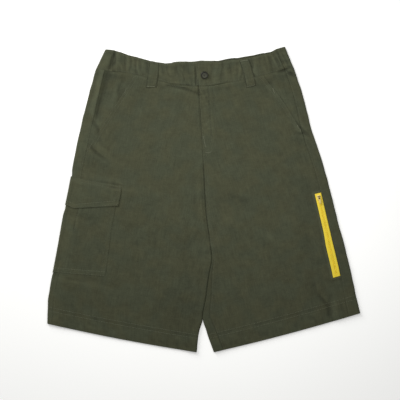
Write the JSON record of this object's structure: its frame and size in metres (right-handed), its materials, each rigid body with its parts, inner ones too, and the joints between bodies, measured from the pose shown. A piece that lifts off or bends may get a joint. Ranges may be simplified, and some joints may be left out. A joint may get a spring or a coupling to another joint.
{
  "type": "cargo shorts",
  "caption": "Knee-length olive cargo shorts laid flat, front up, with elasticated waistband, buttoned fly, flapped cargo pocket, slanted hand pockets and a contrast thigh zip.",
  "frame": {"origin": "on the surface the shorts lie on, under the middle of their outline's box", "axes": "+Z out of the front, away from the surface; +Y to the waist; +X to the wearer's left"},
  "size_m": [0.625, 0.6106, 0.0126],
  "materials": {
    "olive_twill": "matt cotton twill, dusty olive green, tonal stitching",
    "yellow_tape": "woven zip tape with a nylon coil, bright yellow",
    "dark_metal": "gunmetal, satin",
    "dark_resin": "dark olive resin, satin"
  },
  "bodies": {
    "shorts": {"front_right_leg": "olive_twill", "front_left_leg": "olive_twill", "back_right_leg": "olive_twill", "back_left_leg": "olive_twill", "front_waistband_right": "olive_twill", "front_waistband_left": "olive_twill", "back_waistband": "olive_twill", "belt_loop_front_right": "olive_twill", "belt_loop_front_left": "olive_twill", "belt_loop_back_right": "olive_twill", "belt_loop_back_centre": "olive_twill", "belt_loop_back_left": "olive_twill", "hand_pocket_facing_right": "olive_twill", "hand_pocket_facing_left": "olive_twill", "cargo_pocket": "olive_twill", "cargo_flap": "olive_twill", "thigh_zip_tape": "yellow_tape", "zip_slider": "dark_metal", "waist_button": "dark_resin"},
    "pull": {"zip_pull": "dark_metal"}
  },
  "joints": [
    {"name": "pull_hinge", "type": "hinge", "parent": "shorts", "child": "pull", "pos_m": [0.22809, 0.00311, 0.01082], "axis": [-0.9714, -0.2376, 0], "range_deg": [0, 160]}
  ]
}
